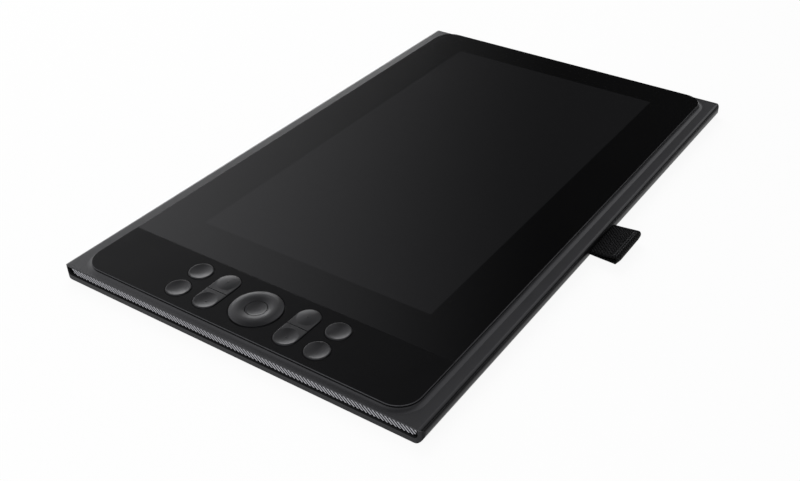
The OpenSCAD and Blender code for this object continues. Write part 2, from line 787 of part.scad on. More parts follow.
module cable_socket(y) {
  inner_w = socket_w - 2 * socket_t;
  inner_h = socket_h - 2 * socket_t;
  color([0.6, 0.6, 0.62]) placed() translate([0, y, port_z]) {
    difference() {
      along_x(socket_x0, socket_x1) stadium(socket_w, socket_h);
      along_x(socket_x0 + 2 * socket_t, socket_x1 + over) stadium(inner_w, inner_h);
    }
    block([socket_x0 + socket_t, socket_x1 - 2 * socket_t], about(0, inner_w / 2 - tongue_t),
      about(0, tongue_t / 2));
  }
}

module upper_socket() {
  cable_socket(socket_y + socket_pitch / 2);
}

module lower_socket() {
  cable_socket(socket_y - socket_pitch / 2);
}

module power_switch() {
  color([0.12, 0.12, 0.12]) placed() difference() {
    block([switch_x0, switch_x1], about(button_y, switch_w / 2), [board_top, port_z + button_h]);
    translate([switch_x1 - button_stem_len, button_y, port_z]) rotate([0, 90, 0])
      cylinder(d = button_stem_d + 2 * key_gap, h = button_stem_len + over);
  }
}

module power_button() {
  color([0.2, 0.2, 0.21]) placed() translate([0, button_y, port_z]) {
    along_x(port_x0 - button_flange, port_x1) stadium(button_w, button_h);
    block([button_back, port_x0], about(0, button_w / 2 + button_flange), about(0, button_h / 2));
    translate([switch_x1 - button_stem_len + button_travel + fit, 0, 0]) rotate([0, 90, 0])
      cylinder(d = button_stem_d, h = button_back + root - switch_x1 + button_stem_len - button_travel - fit);
  }
}

// Keys

module key_board() {
  color([0.04, 0.28, 0.14]) placed() difference() {
    block(about(panel_x, key_window_x + fit), about(0, key_board_y), [key_board_z, key_board_top]);
    for (p = key_board_screws) rod(p, board_screw_d + fit, key_board_z - over, key_board_top + over);
  }
}

// Housing with a round well, open at the top
module switch_housing(p, h, bore, base) {
  difference() {
    block(about(p[0], switch_w / 2), about(p[1], switch_w / 2), [key_board_top, key_board_top + h]);
    rod(p, bore, key_board_top + base, key_board_top + h + over);
  }
}

module key_switches() {
  color([0.15, 0.15, 0.15]) placed() {
    for (i = [false, true], u = [false, true], row = [key_row, rocker_row])
      switch_housing(key_place(i, u, row), switch_h, stem_d + 2 * key_gap, switch_floor);
    switch_housing([panel_x, 0], centre_switch_h, button_stem_d + 2 * key_gap, switch_floor / 2);
  }
}

// Half section of a key: flange under the panel, cap with a rounded top edge
module key_section() {
  translate([0, key_base]) square([key_r + key_flange, key_flange_t]);
  translate([0, key_base]) square([key_r, key_top - key_edge_r - key_base]);
  translate([0, key_base]) square([key_r - key_edge_r, key_top - key_base]);
  translate([key_r - key_edge_r, key_top - key_edge_r]) circle(key_edge_r);
}

module key_dish() {
  translate([0, 0, key_top - dish_depth + dish_r]) sphere(dish_r, $fn = 240);
}

module key_stem() {
  rod([0, 0], stem_d, stem_end, key_base + root);
}

module round_key(p) {
  color([0.14, 0.14, 0.145]) placed() translate([p[0], p[1], 0]) {
    difference() {
      rotate_extrude() key_section();
      key_dish();
    }
    key_stem();
  }
}

// Dot in the middle of a dish or dome whose lowest or highest point is at z
module key_dot(z) {
  rod([0, 0], dot_d, z - 2 * dot_h, z + dot_h);
}

// One half of a pill-shaped pair, about the centre of its round end
module half_pill() {
  rotate(-90) rotate_extrude(angle = 180) key_section();
  along_x(split_gap / 2 - key_pitch / 2, 0) both_sides() key_section();
  key_stem();
}

module dish_key(p) {
  color([0.14, 0.14, 0.145]) placed() translate([p[0], p[1], 0]) {
    difference() {
      mirror([1, 0, 0]) half_pill();
      key_dish();
    }
    key_dot(key_top - dish_depth);
  }
}

module dome_key(p) {
  color([0.14, 0.14, 0.145]) placed() translate([p[0], p[1], 0]) {
    half_pill();
    rotate_extrude() intersection() {
      translate([0, key_top + dome_rise - dome_r]) circle(dome_r, $fn = 240);
      translate([0, key_top - root]) square([dish_d / 2, dome_rise + 2 * root]);
    }
    key_dot(key_top + dome_rise);
  }
}

module upper_outer_key() {
  round_key(key_place(false, true, key_row));
}

module upper_inner_key() {
  round_key(key_place(true, true, key_row));
}

module lower_outer_key() {
  round_key(key_place(false, false, key_row));
}

module lower_inner_key() {
  round_key(key_place(true, false, key_row));
}

module upper_dish_key() {
  dish_key(key_place(false, true, rocker_row));
}

module upper_dome_key() {
  dome_key(key_place(true, true, rocker_row));
}

module lower_dish_key() {
  dish_key(key_place(false, false, rocker_row));
}

module lower_dome_key() {
  dome_key(key_place(true, false, rocker_row));
}

// Dial

module at_dial() {
  placed() translate([panel_x, 0, 0]) rotate_extrude() children();
}

// Half section from the axis out to a radius, between two heights
module disc_section(r, z0, z1) {
  translate([0, z0]) square([r, z1 - z0]);
}

module bowl_section() {
  translate([0, bowl_z]) circle(bowl_r, $fn = 240);
}

module dial_ring() {
  hub_bore = hub_d / 2 + dial_run;
  color([0.14, 0.14, 0.145]) at_dial() difference() {
    union() {
      intersection() {
        disc_section(dial_d / 2, dial_flange_z, dial_top);
        union() {
          disc_section(bowl_reach, dial_flange_z, bowl_edge_z);
          translate([crest_r, dial_top - shoulder_r]) circle(shoulder_r, $fn = 180);
        }
      }
      disc_section(dial_d / 2 + key_flange, dial_flange_z, dial_flange_z + dial_flange_t);
      disc_section(hub_bore + collar, hub_foot_top + fit, dial_flange_z + root);
    }
    bowl_section();
    disc_section(hub_bore, key_board_z, hub_top + fit);
    disc_section(centre_key_d / 2 + key_gap, hub_top, dial_top + over);
  }
}

module code_disc() {
  inner = hub_d / 2 + dial_run + collar + fit / 2;
  color([0.05, 0.05, 0.05]) placed() translate([panel_x, 0, code_z]) difference() {
    linear_extrude(dial_flange_t) difference() {
      circle(dial_d / 2);
      circle(inner);
    }
    for (i = [0:code_windows - 1]) rotate(i * 360 / code_windows)
      translate([(inner + dial_d / 2) / 2, 0, -over]) cylinder(d = dot_d, h = dial_flange_t + 2 * over);
  }
}

module dial_centre_key() {
  color([0.14, 0.14, 0.145]) at_dial() difference() {
    union() {
      disc_section(centre_key_d / 2, centre_cap_z, dial_top);
      disc_section(neck_d / 2, collar_z, centre_cap_z + root);
      disc_section(neck_d / 2 + collar, collar_z, collar_top);
      disc_section(button_stem_d / 2, centre_tip_z, collar_z + root);
    }
    bowl_section();
  }
}

module dial_hub() {
  color([0.5, 0.5, 0.5]) at_dial() difference() {
    union() {
      disc_section(hub_d / 2 + 2 * collar, key_board_top, hub_foot_top);
      disc_section(hub_d / 2, key_board_top, hub_top);
    }
    disc_section(neck_d / 2 + collar + key_gap, key_board_top - over, collar_top);
    disc_section(neck_d / 2 + key_gap, key_board_top, hub_top + over);
  }
}

module dial_sensor() {
  color([0.1, 0.1, 0.1]) placed() block(about(dial_sensor_x, collar), about(0, collar),
    [key_board_top, code_z - 2 * fit]);
}

// Cables, loop, feet and screws

module screen_cable() {
  color([0.75, 0.5, 0.2]) placed() {
    y = about(lcd_cable_y, lcd_cable_w / 2);
    block([active_x + lcd_len / 2, lcd_cable_x + cable_t], y, [lcd_cable_z, lcd_cable_z + cable_t]);
    block([lcd_cable_x, lcd_cable_x + cable_t], y, [board_top + chip_h, lcd_cable_z + cable_t]);
  }
}

module key_cable() {
  color([0.75, 0.5, 0.2]) placed() block([panel_x + key_window_x, board_x0 + fit],
    about(key_cable_y, key_cable_w / 2), [key_cable_z, key_cable_z + cable_t]);
}

// Wedge from a half thickness t near the loop's root into its round fold of radius r
module loop_wedge(y, t, r) {
  polygon([[y, t], [belly_y, r - loop_sink], [belly_y, loop_sink - r], [y, -t]]);
  translate([belly_y, 0]) circle(r);
}

module pen_loop() {
  tail = side_wall + loop_tail;
  color([0.03, 0.03, 0.03]) placed() translate([loop_x, -side_y, loop_z]) mirror([0, 1, 0]) difference() {
    union() {
      block(about(0, loop_w / 2), [-tail, loop_root], about(0, cloth_t));
      along_x(-loop_w / 2, loop_w / 2) loop_wedge(loop_root / 2, cloth_t, belly_r);
    }
    along_x(-loop_w / 2 - over, loop_w / 2 + over) loop_wedge(2 * loop_root, fit / 2, belly_r - cloth_t);
  }
}

module loop_clamp() {
  color([0.6, 0.6, 0.62]) placed() difference() {
    block(about(loop_x, loop_w / 2 + fit + clamp_end), [clamp_y0, clamp_y1],
      [clamp_z, clamp_z + clamp_t]);
    for (p = clamp_screws) rod(p, board_screw_d + fit, floor_z, loop_z);
  }
}

module foot_strip(s) {
  color([0.05, 0.05, 0.05]) placed() translate([0, s * (side_y - foot_edge), 0])
    linear_extrude(foot_proud + foot_seat) stadium(body_len - 2 * foot_end, foot_w);
}

module front_foot() {
  foot_strip(-1);
}

module back_foot() {
  foot_strip(1);
}

// Threaded posts between the sleeve's bosses and the deck plate
module cover_posts() {
  color([0.7, 0.6, 0.35]) placed() for (p = cover_screws_at) difference() {
    rod(p, cover_boss_d, board_z, plate_z);
    rod(p, cover_screw_d + fit, board_z - over, plate_z + over);
  }
}

module cover_screws() {
  color([0.25, 0.25, 0.26]) placed() for (p = cover_screws_at) difference() {
    union() {
      rod(p, cover_head_d, under_z + fit, cover_shank_z);
      rod(p, cover_screw_d, cover_shank_z - root, cover_shank_z + cover_screw_len);
    }
    translate([p[0], p[1], under_z]) cylinder(d = cover_screw_d, h = screw_head_h / 2 + fit, $fn = 6);
  }
}

// Screw with its head's seat at z, driven up (1) or down (-1)
module board_screw(p, z, len, way) {
  translate([p[0], p[1], z]) mirror([0, 0, way > 0 ? 0 : 1]) difference() {
    union() {
      translate([0, 0, -screw_head_h]) cylinder(d = board_head_d, h = screw_head_h);
      translate([0, 0, -root]) cylinder(d = board_screw_d, h = len + root);
    }
    translate([0, 0, -screw_head_h - over]) cylinder(d = board_screw_d, h = over + screw_head_h / 2, $fn = 6);
  }
}

module board_screws() {
  color([0.6, 0.6, 0.62]) placed() {
    for (p = board_screws_at) board_screw(p, board_top, board_t + standoff_h - fit, -1);
    for (p = shield_screws) board_screw(p, shield_z, plate_z - shield_z, 1);
    for (p = key_board_screws) board_screw(p, key_board_z, plate_z - key_board_z, 1);
    for (p = clamp_screws) board_screw(p, clamp_z, plate_z - clamp_z, 1);
  }
}

rear_cover();
front_frame();
near_end_strip();
upper_end_panel();
lower_end_panel();
socket_plate();
screen_glass();
key_panel();
glass_tape();
panel_tape();
clear_bond();
lcd_panel();
diffuser_films();
light_guide();
light_strip();
reflector_sheet();
backlight_tray();
pen_sensor_board();
shield_plate();
mainboard();
board_chips();
upper_socket();
lower_socket();
power_switch();
power_button();
key_board();
key_switches();
upper_outer_key();
upper_inner_key();
lower_outer_key();
lower_inner_key();
upper_dish_key();
upper_dome_key();
lower_dish_key();
lower_dome_key();
dial_ring();
code_disc();
dial_centre_key();
dial_hub();
dial_sensor();
screen_cable();
key_cable();
pen_loop();
loop_clamp();
front_foot();
back_foot();
cover_posts();
cover_screws();
board_screws();
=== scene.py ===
# %% [markdown]
# # A screen tablet for drawing
# The tablet is a flat sleeve with a raised field of dark glass, a strip of keys with a dial,
# a ribbed end and a woven pen loop. Its rigid pieces come from the solid model, which already
# has their true shapes. This lesson gives each of them its finish, makes the cloth and the
# small trims that a solid model leaves plain, and sets up the camera and the studio.

# %% Load the frame
import math

import bpy
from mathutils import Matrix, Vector


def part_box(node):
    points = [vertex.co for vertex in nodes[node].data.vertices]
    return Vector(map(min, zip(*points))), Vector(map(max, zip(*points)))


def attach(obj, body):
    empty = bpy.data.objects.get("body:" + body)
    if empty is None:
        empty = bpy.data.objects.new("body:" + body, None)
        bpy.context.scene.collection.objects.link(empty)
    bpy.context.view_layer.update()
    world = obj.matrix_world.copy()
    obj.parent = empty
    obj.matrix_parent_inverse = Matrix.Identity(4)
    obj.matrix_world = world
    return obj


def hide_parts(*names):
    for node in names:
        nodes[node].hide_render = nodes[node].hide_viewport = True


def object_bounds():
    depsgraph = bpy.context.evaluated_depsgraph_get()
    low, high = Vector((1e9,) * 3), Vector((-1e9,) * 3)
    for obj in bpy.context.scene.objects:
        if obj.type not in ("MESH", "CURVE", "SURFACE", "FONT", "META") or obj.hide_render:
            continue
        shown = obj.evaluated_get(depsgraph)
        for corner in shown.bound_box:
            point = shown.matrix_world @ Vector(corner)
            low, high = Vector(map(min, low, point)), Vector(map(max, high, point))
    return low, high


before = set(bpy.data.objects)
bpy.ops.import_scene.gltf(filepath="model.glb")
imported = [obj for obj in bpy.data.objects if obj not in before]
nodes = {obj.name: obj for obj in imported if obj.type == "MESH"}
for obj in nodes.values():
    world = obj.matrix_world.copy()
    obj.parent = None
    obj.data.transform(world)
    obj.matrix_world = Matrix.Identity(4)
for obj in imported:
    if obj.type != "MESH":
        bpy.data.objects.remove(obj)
cad_low, cad_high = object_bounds()
MM = 0.001
print("loaded", len(nodes), "nodes; box in mm", [round(v / MM, 1) for v in cad_high - cad_low])

# %% [markdown]
# ## Camera
# The camera stands at the near left corner and looks down along the tablet. Its lens and place
# follow from the picture area's four corners. The lens is shifted a little sideways, because
# the tablet sits left of the middle of the frame.

# %% Place the camera
VIEW_AZIMUTH = math.radians(-57.39)
VIEW_ELEVATION = math.radians(35.01)
CAMERA_AT = Vector((-0.42384, -0.27477, 0.31947))

bpy.ops.object.select_all(action="DESELECT")
bpy.ops.object.camera_add(
    location=CAMERA_AT, rotation=(math.pi / 2 - VIEW_ELEVATION, 0, VIEW_AZIMUTH)
)
camera = bpy.context.object
camera.name = "camera"
camera.data.sensor_width = 36
camera.data.lens = 46.47
camera.data.shift_x = -0.0604
camera.data.clip_start = 0.01
bpy.context.scene.camera = camera
bpy.context.scene.view_settings.view_transform = "Standard"
print("camera at", [round(v, 3) for v in CAMERA_AT])

# %% [markdown]
# ## Helpers for node trees
# The world, the floor and every finish below are small trees of nodes. A few helpers keep the
# cells short: they empty a tree, add a node, fill its sockets with values or links, and do a sum.

# %% Node helpers
def start_tree(owner):
    owner.use_nodes = True
    owner.node_tree.nodes.clear()
    return owner.node_tree


def fill(tree, node, inputs):
    for key, value in inputs.items():
        if isinstance(value, bpy.types.NodeSocket):
            tree.links.new(value, node.inputs[key])
        else:
            node.inputs[key].default_value = value


def add(tree, kind, inputs=None, **settings):
    made = tree.nodes.new("ShaderNode" + kind)
    for key, value in settings.items():
        setattr(made, key, value)
    fill(tree, made, inputs or {})
    return made


def math_node(tree, operation, a, b=0.0, clamp=False):
    return add(tree, "Math", {0: a, 1: b}, operation=operation, use_clamp=clamp).outputs[0]


print("node helpers ready")

# %% [markdown]
# ## Studio
# A product like this is photographed on a white sweep. The world is plain white where the camera
# or a reflection looks at it, and a soft grey where it only lights the object, so that a white
# background costs no contrast.

# %% World
WHITE = (1, 1, 1, 1)
AMBIENT = 0.32


def seen_directly(tree):
    path = add(tree, "LightPath").outputs
    either = math_node(tree, "MAXIMUM", path["Is Camera Ray"], path["Is Glossy Ray"])
    return math_node(tree, "MAXIMUM", either, path["Is Transmission Ray"])


def mix_shaders(tree, factor, first, second):
    return add(tree, "MixShader", {0: factor, 1: first.outputs[0], 2: second.outputs[0]})


world = bpy.data.worlds.new("studio")
bpy.context.scene.world = world
sky = start_tree(world)
soft_grey = add(sky, "Background", {"Color": WHITE, "Strength": AMBIENT})
plain_white = add(sky, "Background", {"Color": WHITE, "Strength": 1.0})
choice = mix_shaders(sky, seen_directly(sky), soft_grey, plain_white)
add(sky, "OutputWorld", {"Surface": choice.outputs[0]})
print("world: white to look at, lighting with strength", AMBIENT)

# %% [markdown]
# The floor does the same but keeps part of its real shading, which leaves the object's shadow on
# it. From below the floor lets the view through.

# %% Floor
FLOOR_SIZE = 12
FLOOR_DROP = 0.1 * MM
FLOOR_LIFT = 0.92
PAPER_WHITE = (0.86, 0.86, 0.86, 1)

bpy.ops.object.select_all(action="DESELECT")
bpy.ops.mesh.primitive_plane_add(size=FLOOR_SIZE, location=(0, 0, -FLOOR_DROP))
floor = bpy.context.object
floor.name = "floor"
paper = bpy.data.materials.new("floor_paper")
tree = start_tree(paper)
matt = add(tree, "BsdfDiffuse", {"Color": PAPER_WHITE})
glow = add(tree, "Emission", {"Color": WHITE, "Strength": 1.0})
lift = math_node(tree, "MULTIPLY", seen_directly(tree), FLOOR_LIFT)
lifted = mix_shaders(tree, lift, matt, glow)
below = add(tree, "NewGeometry").outputs["Backfacing"]
both = mix_shaders(tree, below, lifted, add(tree, "BsdfTransparent"))
add(tree, "OutputMaterial", {"Surface": both.outputs[0]})
floor.data.materials.append(paper)
print("floor:", FLOOR_SIZE, "m wide, lifted to white by", FLOOR_LIFT)

# %% [markdown]
# ## Lights
# Black, glossy things are lit by what they reflect. A low strip light stands behind on the left,
# where the dishes of the keys and the dial pick it up. Two broad lights from above and from the
# ribbed end give the matt light, and are kept out of the reflections.

# %% Lights
MIDDLE = (cad_low + cad_high) / 2


def soft_light(name, bearing, height, distance, size, power, mirrored=False):
    turn = math.radians(bearing)
    rise = math.radians(height)
    level = math.cos(rise)
    way = Vector((math.cos(turn) * level, math.sin(turn) * level, math.sin(rise)))
    facing = way.to_track_quat("Z", "Y").to_euler()
    bpy.ops.object.select_all(action="DESELECT")
    bpy.ops.object.light_add(type="AREA", location=MIDDLE + distance * way, rotation=facing)
    lamp = bpy.context.object
    lamp.name = name
    lamp.data.shape = "RECTANGLE"
    lamp.data.size, lamp.data.size_y = size
    lamp.data.energy = power
    lamp.visible_glossy = mirrored


soft_light("low_back_light", bearing=50, height=13, distance=1.4, size=(0.8, 0.3), power=3.0,
           mirrored=True)
soft_light("top_light", bearing=60, height=50, distance=1.5, size=(1.2, 1.2), power=14)
soft_light("end_light", bearing=190, height=30, distance=1.3, size=(0.9, 0.6), power=8)

# %% [markdown]
# ## The dark canopy
# A dark canopy hangs over the set, open towards the left and towards the camera: the glass mirrors
# its faded edge, which gives the smooth fall from grey to black across the screen. A long window
# in it, high on the right, is mirrored by the hollow beside the glass and by the rounded right
# edge, but not by anything flat. The edges are fades over the bearing, the height and the tilt
# about the tablet's length, so no extra shape is needed.

# %% Canopy cloth
CANOPY_RADIUS = 2.0
LEFT_EDGE = (math.radians(83), math.radians(22.5))
RIGHT_EDGE = (math.radians(-120), math.radians(-70))
OVERHEAD = (0.68 * CANOPY_RADIUS, 0.86 * CANOPY_RADIUS)
ABOVE_FLOOR = (0.0, 0.01 * CANOPY_RADIUS)
WINDOW_UPPER = (math.radians(66), math.radians(82))
WINDOW_LOWER = (math.radians(136), math.radians(120))
WINDOW_FRONT = (0.1 * CANOPY_RADIUS, 0.35 * CANOPY_RADIUS)
CANOPY_COVER = 0.98
WINDOW_OPEN = 0.95
VELVET_BLACK = (0.002, 0.002, 0.002, 1)


def object_place(tree):
    return add(tree, "TexCoord").outputs["Object"]


def axes(tree, vector):
    return add(tree, "SeparateXYZ", {0: vector}).outputs


def ramp(tree, value, start, end, kind="LINEAR"):
    limits = {"Value": value, "From Min": start, "From Max": end}
    return add(tree, "MapRange", limits, interpolation_type=kind).outputs[0]


def fade(tree, value, limits):
    return ramp(tree, value, *limits, kind="SMOOTHSTEP")


velvet = bpy.data.materials.new("black_velvet")
tree = start_tree(velvet)
place = axes(tree, object_place(tree))
bearing = math_node(tree, "ARCTAN2", place["Y"], place["X"])
tilt = math_node(tree, "ARCTAN2", place["Z"], place["Y"])
wall = math_node(tree, "MULTIPLY", fade(tree, bearing, LEFT_EDGE), fade(tree, bearing, RIGHT_EDGE))
roofed = math_node(tree, "MAXIMUM", wall, fade(tree, place["Z"], OVERHEAD))
hung = math_node(tree, "MULTIPLY", roofed, fade(tree, place["Z"], ABOVE_FLOOR))
strip = math_node(tree, "MULTIPLY", fade(tree, tilt, WINDOW_UPPER), fade(tree, tilt, WINDOW_LOWER))
window = math_node(tree, "MULTIPLY", strip, fade(tree, place["X"], WINDOW_FRONT))
opened = math_node(tree, "MULTIPLY", window, WINDOW_OPEN)
cover = math_node(tree, "MULTIPLY", hung, math_node(tree, "SUBTRACT", CANOPY_COVER, opened))
black = add(tree, "BsdfDiffuse", {"Color": VELVET_BLACK})
both = mix_shaders(tree, cover, add(tree, "BsdfTransparent"), black)
add(tree, "OutputMaterial", {"Surface": both.outputs[0]})
print("canopy cloth:", len(tree.nodes), "nodes")

# %% [markdown]
# The canopy is a sphere that only reflections see. It takes no light away and casts no shadow.

# %% Hang the canopy
bpy.ops.object.select_all(action="DESELECT")
bpy.ops.mesh.primitive_uv_sphere_add(segments=96, ring_count=48, radius=CANOPY_RADIUS)
canopy = bpy.context.object
canopy.name = "dark_canopy"
canopy.data.materials.append(velvet)
canopy.visible_camera = False
canopy.visible_diffuse = False
canopy.visible_transmission = False
canopy.visible_shadow = False
print("canopy: radius", CANOPY_RADIUS, "m")

# %% [markdown]
# ## Shared effects
# Moulded plastic and blasted metal are never one flat tone. Four effects come back in many
# finishes, so each is a node group that is built once. Grain is the fine texture of the mould or
# the blasting, with a broader change of tone.

# %% Grain
SOCKETS = {"value": "NodeSocketFloat", "vector": "NodeSocketVector"}


def start_group(name, takes, gives):
    tree = bpy.data.node_groups.new(name, "ShaderNodeTree")
    for key, start in takes.items():
        socket = tree.interface.new_socket(key, in_out="INPUT", socket_type=SOCKETS["value"])
        socket.default_value = start
    for key, kind in gives.items():
        tree.interface.new_socket(key, in_out="OUTPUT", socket_type=SOCKETS[kind])
    return tree, tree.nodes.new("NodeGroupInput"), tree.nodes.new("NodeGroupOutput")


def per(tree, size):
    return math_node(tree, "DIVIDE", 1.0, size)


def noise(tree, size, **look):
    inputs = {"Vector": object_place(tree), "Scale": per(tree, size)}
    return add(tree, "TexNoise", {**inputs, **look}).outputs[0]


grain, enter, leave = start_group(
    "grain", {"Grain": 0.3 * MM, "Patch": 20 * MM}, {"Height": "value", "Tone": "value"}
)
fine = noise(grain, enter.outputs["Grain"], Detail=3.0)
broad = noise(grain, enter.outputs["Patch"], Detail=4.0)
fill(grain, leave, {"Height": fine, "Tone": broad})
print("grain gives", [socket.name for socket in leave.inputs if socket.name])

# %% [markdown]
# Worn edge rounds the light on sharp edges and marks where hands rub them. The rounded normal
# leaves the face's own normal only near an edge, and a noise makes the rubbing patchy.

# %% Worn edge
RUB_SCALE = 90.0
RUB_FROM = 0.4
RUB_FULL = 0.7

worn_edge, enter, leave = start_group(
    "worn_edge", {"Round": 0.25 * MM, "Wear": 1.0}, {"Edge": "value", "Normal": "vector"}
)
rounded = add(worn_edge, "Bevel", {"Radius": enter.outputs["Round"]}, samples=6).outputs[0]
face = add(worn_edge, "NewGeometry").outputs["Normal"]
match = add(worn_edge, "VectorMath", {0: rounded, 1: face}, operation="DOT_PRODUCT")
turn = math_node(worn_edge, "SUBTRACT", 1.0, match.outputs["Value"])
rub = add(worn_edge, "TexNoise", {
    "Vector": object_place(worn_edge), "Scale": RUB_SCALE, "Detail": 5.0}).outputs[0]
patchy = ramp(worn_edge, rub, RUB_FROM, RUB_FULL)
strength = math_node(worn_edge, "MULTIPLY", turn, enter.outputs["Wear"])
edge = math_node(worn_edge, "MULTIPLY", strength, patchy, clamp=True)
fill(worn_edge, leave, {"Edge": edge, "Normal": rounded})
print("worn edge gives", [socket.name for socket in leave.inputs if socket.name])

# %% [markdown]
# Handling is the faint film that fingers leave. A noise that is stirred a little looks like smears,
# and only its upper part counts, so that clean places stay between them.

# %% Handling
FILM_FROM = 0.35
FILM_FULL = 0.75

handling, enter, leave = start_group("handling", {"Patch": 25 * MM}, {"Film": "value"})
smear = noise(handling, enter.outputs["Patch"], Detail=6.0, Roughness=0.62, Distortion=0.8)
fill(handling, leave, {"Film": ramp(handling, smear, FILM_FROM, FILM_FULL)})
print("handling gives", [socket.name for socket in leave.inputs if socket.name])

# %% [markdown]
# Brushing is a grain that is drawn out along one direction, as on rolled or turned metal. The
# coordinates are scaled less along the strokes than across them, which stretches the noise.

# %% Brushing
brushing, enter, leave = start_group(
    "brushing", {"Across": 0.15 * MM, "Along": 12 * MM}, {"Height": "value"}
)
scale = add(brushing, "CombineXYZ", {
    "X": per(brushing, enter.outputs["Along"]),
    "Y": per(brushing, enter.outputs["Across"]),
    "Z": per(brushing, enter.outputs["Across"])}).outputs[0]
drawn = add(brushing, "VectorMath", {0: object_place(brushing), 1: scale}, operation="MULTIPLY")
lines = add(brushing, "TexNoise", {"Vector": drawn.outputs[0], "Scale": 1.0, "Detail": 3.0})
fill(brushing, leave, {"Height": lines.outputs[0]})
print("groups:", [group.name for group in bpy.data.node_groups])

# %% [markdown]
# ## A moulded or blasted finish
# Most pieces share one recipe with their own values. It needs greys with a slight blue cast, which
# black finishes often have, and short ways to mix two colours, to spread a mask over a range and to
# raise a surface by a height.

# %% Colours and mixing
COOL = (0.94, 0.94, 1.0, 1.0)
BLUE_CAST = 1.07
COLOUR_A = 6
COLOUR_B = 7
COLOUR_OUT = 2


def grey(value):
    return (value, value, value * BLUE_CAST, 1.0)


def scaled(colour, by):
    return (*[min(1.0, c * by) for c in colour[:3]], 1.0)


def blend(tree, factor, low, high, kind="MIX"):
    colours = {"Factor": factor, COLOUR_A: low, COLOUR_B: high}
    return add(tree, "Mix", colours, data_type="RGBA", blend_type=kind).outputs[COLOUR_OUT]


def spread(tree, value, low, high):
    return add(tree, "MapRange", {"Value": value, "To Min": low, "To Max": high}).outputs[0]


def raised(tree, height, depth, normal=None):
    inputs = {"Height": height, "Distance": depth, "Strength": 1.0}
    if normal is not None:
        inputs["Normal"] = normal
    return add(tree, "Bump", inputs).outputs[0]


print("a middle grey is", [round(c, 3) for c in grey(0.5)])

# %% [markdown]
# The recipe is a tone that drifts a little, a grain that stands up by a few micrometres, a
# roughness that follows the finger film, and edges that catch the light. It is a function, so that
# each piece only names its values. The shader itself stays in each material.

# %% Satin recipe
TONE_PATCH = 18 * MM
EDGE_LIFT = 2.2
FILM = 0.06


def start_material(name):
    made = bpy.data.materials.new(name)
    tree = start_tree(made)
    shader = add(tree, "BsdfPrincipled", {"Specular Tint": COOL})
    add(tree, "OutputMaterial", {"Surface": shader.outputs[0]})
    return made, tree, shader


def use_group(tree, group, **values):
    made = tree.nodes.new("ShaderNodeGroup")
    made.node_tree = group
    fill(tree, made, {key.capitalize(): value for key, value in values.items()})
    return made.outputs


def satin(name, colour, rough, grain_mm=0.25, depth_mm=0.006, drift=0.12, round_mm=0.25,
          worn=2.0, film_mm=25.0, specular=0.5):
    made, tree, shader = start_material(name)
    speckle = use_group(tree, grain, grain=grain_mm * MM, patch=TONE_PATCH)
    edges = use_group(tree, worn_edge, round=round_mm * MM, wear=worn)
    touched = use_group(tree, handling, patch=film_mm * MM)
    tone = blend(tree, speckle["Tone"], scaled(colour, 1 - drift), scaled(colour, 1 + drift))
    fill(tree, shader, {
        "Base Color": blend(tree, edges["Edge"], tone, scaled(colour, EDGE_LIFT)),
        "Roughness": spread(tree, touched["Film"], rough + FILM / 2, rough - FILM / 2),
        "Normal": raised(tree, speckle["Height"], depth_mm * MM, edges["Normal"]),
        "Specular IOR Level": specular})
    return made


def dress(material, *names):
    for name in names:
        slots = nodes[name].data.materials
        slots.clear()
        slots.append(material)
    print(material.name, "on", ", ".join(names))


print("satin recipe ready")

# %% [markdown]
# ## Sleeve, deck and ends
# The sleeve is blasted aluminium with a black oxide skin. Its sawn ends are painted a shade greyer,
# partly for the bare metal of the cut and partly as a painted highlight where the end faces catch
# the light. Such bands follow the place on the piece, so they are masks on Object coordinates that
# are laid over the satin colour.

# %% Sleeve
SLEEVE_BLACK = grey(0.004)
SAWN_GREY_AND_HIGHLIGHT = grey(0.018)
SAWN_FROM = 1.4 * MM
SAWN_FULL = 1.0 * MM


def object_axis(tree, axis):
    return axes(tree, object_place(tree))[axis]


def distance_from(tree, axis, middle):
    return math_node(tree, "ABSOLUTE", math_node(tree, "SUBTRACT", object_axis(tree, axis), middle))


def paint(material, mask, colour):
    tree = material.node_tree
    base = tree.nodes["Principled BSDF"].inputs["Base Color"]
    under = base.links[0].from_socket
    tree.links.new(blend(tree, mask, under, colour), base)


sleeve_low, sleeve_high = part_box("rear_cover")
sleeve_mid = (sleeve_low.x + sleeve_high.x) / 2
sleeve_half = (sleeve_high.x - sleeve_low.x) / 2
sleeve = satin("black_sleeve", SLEEVE_BLACK, 0.3, grain_mm=0.12, depth_mm=0.002, worn=3.0,
               specular=0.1)
tree = sleeve.node_tree
endwise = distance_from(tree, "X", sleeve_mid)
# Painted highlight: the sawn ends are painted greyer, partly bare metal of the cut, partly light
# caught by the end faces.
paint(sleeve, ramp(tree, endwise, sleeve_half - SAWN_FROM, sleeve_half - SAWN_FULL), SAWN_GREY_AND_HIGHLIGHT)
dress(sleeve, "rear_cover")

# %% [markdown]
# The deck is moulded in a plastic that is lighter and glossier than the sleeve. Its outer edge is
# painted black like the sleeve, along both sides and round the far corners. The mask is the
# distance past an inner outline, so that the painted edge turns the corners in an arc.

# %% Deck
TURN = 5 * MM
EDGE_FROM = TURN - 1.5 * MM
EDGE_FULL = TURN - 1.2 * MM


def beyond(tree, value, limit):
    return math_node(tree, "MAXIMUM", math_node(tree, "SUBTRACT", value, limit), 0.0)


